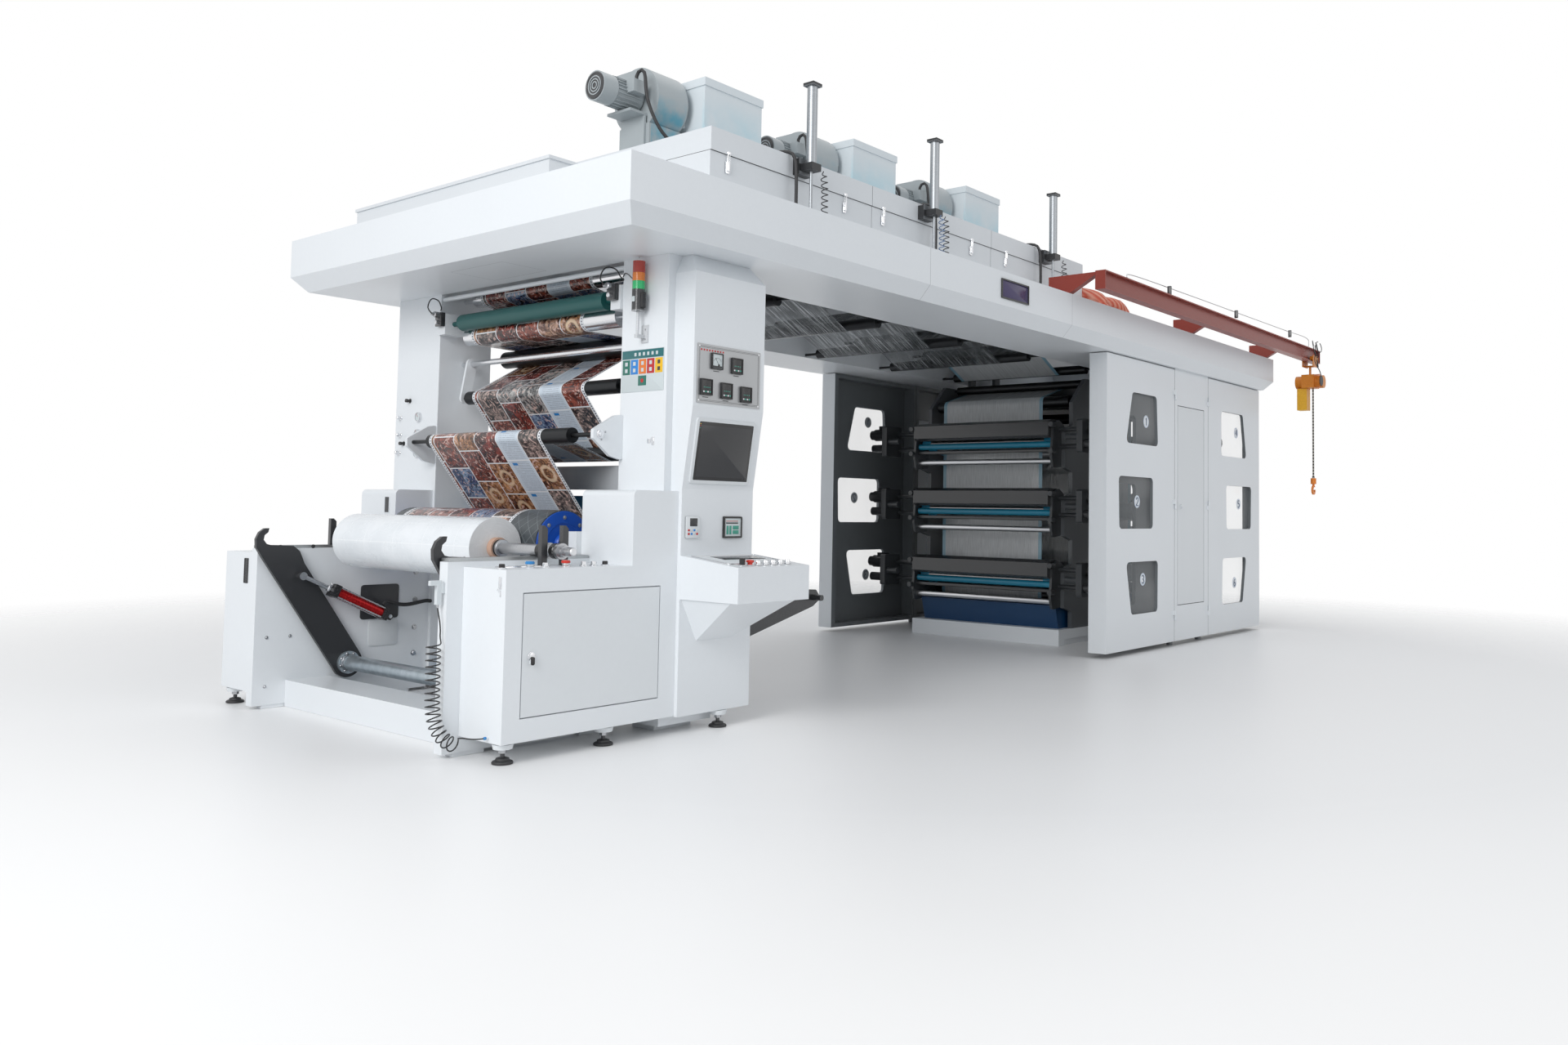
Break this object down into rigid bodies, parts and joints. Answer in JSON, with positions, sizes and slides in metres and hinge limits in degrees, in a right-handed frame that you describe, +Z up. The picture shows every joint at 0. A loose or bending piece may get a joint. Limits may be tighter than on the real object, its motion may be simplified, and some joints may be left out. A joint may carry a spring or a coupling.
{
  "type": "flexographic printing press",
  "caption": "Stack-type flexographic web press: hinged housing over ink decks, canopy with drying hoods, guide-roller tower, console and surface winder with lift arms.",
  "frame": {"origin": "on the floor, on the machine centre line, at the middle of the print section base", "axes": "+Z up, -X toward the winder end, -Y toward the operator side with the console"},
  "size_m": [10.6285, 3.863, 4.018],
  "materials": {
    "print_base": "satin",
    "drip_tray": "satin",
    "unit_frames": "satin",
    "print_cylinders": "ground",
    "deck_rollers": "satin",
    "deck_brackets": "satin",
    "ink_units": "satin",
    "ink_rollers": "matt",
    "wall_near": "satin",
    "wall_far": "satin",
    "door_front_near": "satin",
    "door_rear_near": "satin",
    "door_front_far": "satin",
    "door_rear_far": "satin",
    "window_front_near": "polished",
    "window_rear_near": "polished",
    "window_front_far": "polished",
    "window_rear_far": "polished",
    "access_door_near": "satin",
    "access_door_far": "satin",
    "canopy": "satin",
    "towers": "satin",
    "blue_beams": "satin",
    "console": "satin",
    "desk": "satin",
    "console_screen": "gloss",
    "controls": "matt",
    "stack_light": "gloss",
    "winder_frame": "satin",
    "roll_rails": "ground",
    "roll_stops": "matt",
    "cabinet_near": "satin",
    "cabinet_far": "satin",
    "cabinet_door": "satin",
    "levelling_feet": "matt",
    "lift_arms": "satin",
    "lift_barrel": "anodised",
    "lift_rod": "polished",
    "film_roll": "satin",
    "roll_shaft": "ground",
    "winding_drum": "matt",
    "front_roller": "matt",
    "nip_roller": "matt",
    "roller_brackets": "satin",
    "guide_rollers": "matt",
    "chrome_rollers": "polished",
    "web_tower": "satin",
    "web_overhead": "satin",
    "hoods": "satin",
    "blowers": "satin",
    "filter_boxes": "satin",
    "hood_cylinders": "polished",
    "power_cables": "matt",
    "air_ducts": "satin",
    "hoist_beam": "satin",
    "hoist": "satin",
    "hook": "satin",
    "unwind_arms": "satin",
    "air_hose": "gloss",
    "air_gun": "satin"
  },
  "bodies": {
    "press": {"print_base": "print_base", "drip_tray": "drip_tray", "unit_frames": "unit_frames", "print_cylinders": "print_cylinders", "deck_rollers": "deck_rollers", "deck_brackets": "deck_brackets", "ink_units": "ink_units", "ink_rollers": "ink_rollers", "wall_near": "wall_near", "wall_far": "wall_far", "canopy": "canopy", "towers": "towers", "blue_beams": "blue_beams", "console": "console", "desk": "desk", "console_screen": "console_screen", "controls": "controls", "stack_light": "stack_light", "winder_frame": "winder_frame", "roll_rails": "roll_rails", "roll_stops": "roll_stops", "cabinet_near": "cabinet_near", "cabinet_far": "cabinet_far", "levelling_feet": "levelling_feet", "roller_brackets": "roller_brackets", "guide_rollers": "guide_rollers", "chrome_rollers": "chrome_rollers", "web_tower": "web_tower", "web_overhead": "web_overhead", "hoods": "hoods", "blowers": "blowers", "filter_boxes": "filter_boxes", "hood_cylinders": "hood_cylinders", "power_cables": "power_cables", "air_ducts": "air_ducts", "hoist_beam": "hoist_beam", "unwind_arms": "unwind_arms", "air_hose": "air_hose", "air_gun": "air_gun"},
    "door_front_near": {"door_front_near": "door_front_near", "window_front_near": "window_front_near"},
    "door_rear_near": {"door_rear_near": "door_rear_near", "window_rear_near": "window_rear_near"},
    "door_front_far": {"door_front_far": "door_front_far", "window_front_far": "window_front_far"},
    "door_rear_far": {"door_rear_far": "door_rear_far", "window_rear_far": "window_rear_far"},
    "access_door_near": {"access_door_near": "access_door_near"},
    "access_door_far": {"access_door_far": "access_door_far"},
    "cabinet_door": {"cabinet_door": "cabinet_door"},
    "lift_arms": {"lift_arms": "lift_arms"},
    "lift_barrel": {"lift_barrel": "lift_barrel"},
    "lift_rod": {"lift_rod": "lift_rod"},
    "film_roll": {"film_roll": "film_roll", "roll_shaft": "roll_shaft"},
    "winding_drum": {"winding_drum": "winding_drum"},
    "front_roller": {"front_roller": "front_roller"},
    "nip_roller": {"nip_roller": "nip_roller"},
    "hoist": {"hoist": "hoist"},
    "hook": {"hook": "hook"}
  },
  "joints": [
    {"name": "front_door_near", "type": "hinge", "parent": "press", "child": "door_front_near", "pos_m": [-0.437, -1.615, 1.3], "axis": [0, 0, 1], "range_deg": [0, 90]},
    {"name": "rear_door_near", "type": "hinge", "parent": "press", "child": "door_rear_near", "pos_m": [0.401, -1.615, 1.3], "axis": [0, 0, -1], "range_deg": [0, 90]},
    {"name": "front_door_far", "type": "hinge", "parent": "press", "child": "door_front_far", "pos_m": [-0.437, 1.615, 1.3], "axis": [0, 0, -1], "range_deg": [0, 90]},
    {"name": "rear_door_far", "type": "hinge", "parent": "press", "child": "door_rear_far", "pos_m": [0.401, 1.615, 1.3], "axis": [0, 0, 1], "range_deg": [0, 90]},
    {"name": "access_door_near_swing", "type": "hinge", "parent": "press", "child": "access_door_near", "pos_m": [0.285, -1.605, 1.34], "axis": [0, 0, 1], "range_deg": [0, 90]},
    {"name": "access_door_far_swing", "type": "hinge", "parent": "press", "child": "access_door_far", "pos_m": [0.285, 1.605, 1.34], "axis": [0, 0, -1], "range_deg": [0, 90]},
    {"name": "cabinet_door_swing", "type": "hinge", "parent": "press", "child": "cabinet_door", "pos_m": [-6.772, -1.385, 0.512], "axis": [0, 0, 1], "range_deg": [0, 90]},
    {"name": "roll_lift", "type": "hinge", "parent": "press", "child": "lift_arms", "pos_m": [-7.27, 0, 0.235], "axis": [0, -1, 0], "range_deg": [0, 40]},
    {"name": "lift_barrel_swing", "type": "hinge", "parent": "press", "child": "lift_barrel", "pos_m": [-7.03, 0, 0.51], "axis": [0, -1, 0], "range_deg": [0, 31]},
    {"name": "lift_rod_slide", "type": "slide", "parent": "lift_barrel", "child": "lift_rod", "axis": [-0.9007, 0, 0.4345], "range_m": [0, 0.24]},
    {"name": "drum_spin", "type": "hinge", "parent": "press", "child": "winding_drum", "pos_m": [-6.943, 0, 1.02], "axis": [0, -1, 0], "continuous": true},
    {"name": "roll_spin", "type": "hinge", "parent": "press", "child": "film_roll", "pos_m": [-7.3, 0, 1.001], "axis": [0, -1, 0], "continuous": true},
    {"name": "front_roller_spin", "type": "hinge", "parent": "press", "child": "front_roller", "pos_m": [-6.866, 0, 1.64], "axis": [0, -1, 0], "continuous": true},
    {"name": "nip_roller_spin", "type": "hinge", "parent": "press", "child": "nip_roller", "pos_m": [-6.65, 0, 2.446], "axis": [0, -1, 0], "continuous": true},
    {"name": "hoist_travel", "type": "slide", "parent": "press", "child": "hoist", "axis": [-1, 0, 0], "range_m": [0, 4.9]},
    {"name": "hook_swivel", "type": "hinge", "parent": "hoist", "child": "hook", "pos_m": [2.49, -2.01, 1.6], "axis": [0, 0, 1], "continuous": true}
  ],
  "couplings": [
    {"joint": "lift_barrel_swing", "follows": "roll_lift", "ratio": 0.755},
    {"joint": "lift_rod_slide", "follows": "roll_lift", "m_per_rad": 0.3094},
    {"joint": "roll_spin", "follows": "drum_spin", "ratio": -1.1576}
  ]
}
